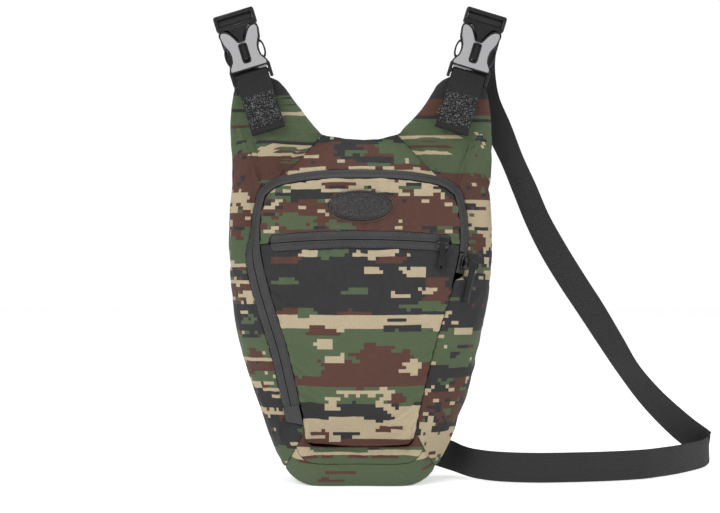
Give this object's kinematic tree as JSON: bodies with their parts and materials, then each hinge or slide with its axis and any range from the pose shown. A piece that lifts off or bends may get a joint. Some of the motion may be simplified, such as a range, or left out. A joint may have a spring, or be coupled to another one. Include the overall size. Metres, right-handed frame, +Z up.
{
  "type": "sling bag",
  "caption": "Upright padded sling bag in camouflage cloth with an arched main zip, a zipped front pocket, side-release buckles and a webbing strap.",
  "frame": {"origin": "on the floor under the middle of the base, with the straps left out of the count", "axes": "+X to the bag's right as seen from its front, -Y out of the front, +Z up"},
  "size_m": [0.4617, 0.1353, 0.4186],
  "materials": {
    "buckle_black": "satin moulded acetal",
    "buckle_grey": "fine-grained satin",
    "webbing": "woven",
    "thread": "thread",
    "slider_metal": "black lacquer",
    "pull_rubber": "moulded",
    "zip_teeth": "coil",
    "zip_tape": "coated tape",
    "lining": "plain weave",
    "foam": "closed-cell foam",
    "board": "plain",
    "air_mesh": "spacer mesh",
    "binding": "folded tape",
    "badge_cloth": "embossed patch",
    "camouflage_cloth": "printed coated nylon"
  },
  "bodies": {
    "bag": {"base_panel": "camouflage_cloth", "front_ledge": "camouflage_cloth", "left_side_panel": "camouflage_cloth", "right_side_panel": "camouflage_cloth", "neck_panel": "camouflage_cloth", "back_mesh": "air_mesh", "back_foam": "foam", "back_lining": "lining", "body_lining": "lining", "edge_piping": "binding", "base_board": "board", "left_horn_foam": "foam", "right_horn_foam": "foam", "inner_pocket": "lining", "inner_pocket_binding": "binding", "main_zip_body_tape": "zip_tape", "main_zip_body_teeth": "zip_teeth", "main_zip_parking_tape": "zip_tape", "main_zip_stops": "slider_metal", "main_zip_end_tab": "camouflage_cloth", "left_webbing_tab": "webbing", "right_webbing_tab": "webbing", "tab_stitching": "thread", "left_buckle_socket": "buckle_black", "right_buckle_socket": "buckle_black", "left_buckle_face": "buckle_grey", "right_buckle_face": "buckle_grey", "strap_anchors": "webbing"},
    "main_slider": {"main_slider": "slider_metal"},
    "main_link": {"main_pull_link": "slider_metal"},
    "main_grip": {"main_pull_grip": "pull_rubber"},
    "flap": {"flap_top_panel": "camouflage_cloth", "pocket_panel": "camouflage_cloth", "flap_lining": "lining", "main_zip_flap_tape": "zip_tape", "main_zip_flap_teeth": "zip_teeth", "pocket_zip_tapes": "zip_tape", "pocket_zip_teeth": "zip_teeth", "pocket_zip_stops": "slider_metal", "badge": "badge_cloth", "badge_stitching": "thread"},
    "pocket_slider": {"pocket_slider": "slider_metal"},
    "pocket_pull": {"pocket_pull": "pull_rubber"},
    "left_plug": {"left_buckle_plug": "buckle_black", "left_strap": "webbing"},
    "left_outer_prong": {"left_plug_outer_prong": "buckle_black"},
    "left_inner_prong": {"left_plug_inner_prong": "buckle_black"},
    "right_plug": {"right_buckle_plug": "buckle_black", "right_strap": "webbing"},
    "right_outer_prong": {"right_plug_outer_prong": "buckle_black"},
    "right_inner_prong": {"right_plug_inner_prong": "buckle_black"}
  },
  "joints": [
    {"name": "main_flap_open", "type": "hinge", "parent": "bag", "child": "flap", "pos_m": [0.092, -0.036, 0.188], "axis": [0.7168, 0, 0.6973], "range_deg": [0, 50], "deforming": ["pocket_panel", "flap_lining"]},
    {"name": "main_slider_travel", "type": "hinge", "parent": "bag", "child": "main_slider", "pos_m": [-0.035, 0, 0.216], "axis": [0, -1, 0], "range_deg": [0, 22]},
    {"name": "main_link_turn", "type": "hinge", "parent": "main_slider", "child": "main_link", "pos_m": [0.09162, -0.02982, 0.19106], "axis": [-0.2075, 0, -0.9782], "range_deg": [0, 45]},
    {"name": "main_grip_swing", "type": "hinge", "parent": "main_link", "child": "main_grip", "pos_m": [0.09721, -0.03312, 0.18988], "axis": [-0.4891, -0.866, 0.1037], "range_deg": [0, 95]},
    {"name": "pocket_slider_travel", "type": "hinge", "parent": "flap", "child": "pocket_slider", "pos_m": [0, 0.38628, -0.19503], "axis": [0, -0.6917, -0.7222], "range_deg": [0, 13.6]},
    {"name": "pocket_pull_lift", "type": "hinge", "parent": "pocket_slider", "child": "pocket_pull", "pos_m": [0.07076, -0.03978, 0.20907], "axis": [-0.9928, -0.0865, 0.0828], "range_deg": [0, 140]},
    {"name": "left_buckle_release", "type": "slide", "parent": "bag", "child": "left_plug", "axis": [-0.2924, 0, 0.9563], "range_m": [0, 0.042], "deforming": ["left_strap", "left_plug_outer_prong", "left_plug_inner_prong"]},
    {"name": "left_outer_prong_squeeze", "type": "hinge", "parent": "left_plug", "child": "left_outer_prong", "pos_m": [-0.11996, 0.003, 0.39478], "axis": [0, -1, 0], "range_deg": [0, 7]},
    {"name": "left_inner_prong_squeeze", "type": "hinge", "parent": "left_plug", "child": "left_inner_prong", "pos_m": [-0.09605, 0.003, 0.40209], "axis": [0, 1, 0], "range_deg": [0, 7]},
    {"name": "right_buckle_release", "type": "slide", "parent": "bag", "child": "right_plug", "axis": [0.2924, 0, 0.9563], "range_m": [0, 0.042], "deforming": ["right_strap", "right_plug_outer_prong", "right_plug_inner_prong"]},
    {"name": "right_outer_prong_squeeze", "type": "hinge", "parent": "right_plug", "child": "right_outer_prong", "pos_m": [0.11996, 0.003, 0.39478], "axis": [0, 1, 0], "range_deg": [0, 7]},
    {"name": "right_inner_prong_squeeze", "type": "hinge", "parent": "right_plug", "child": "right_inner_prong", "pos_m": [0.09605, 0.003, 0.40209], "axis": [0, -1, 0], "range_deg": [0, 7]}
  ],
  "couplings": [
    {"joint": "left_inner_prong_squeeze", "follows": "left_outer_prong_squeeze", "ratio": 1},
    {"joint": "right_inner_prong_squeeze", "follows": "right_outer_prong_squeeze", "ratio": 1}
  ]
}
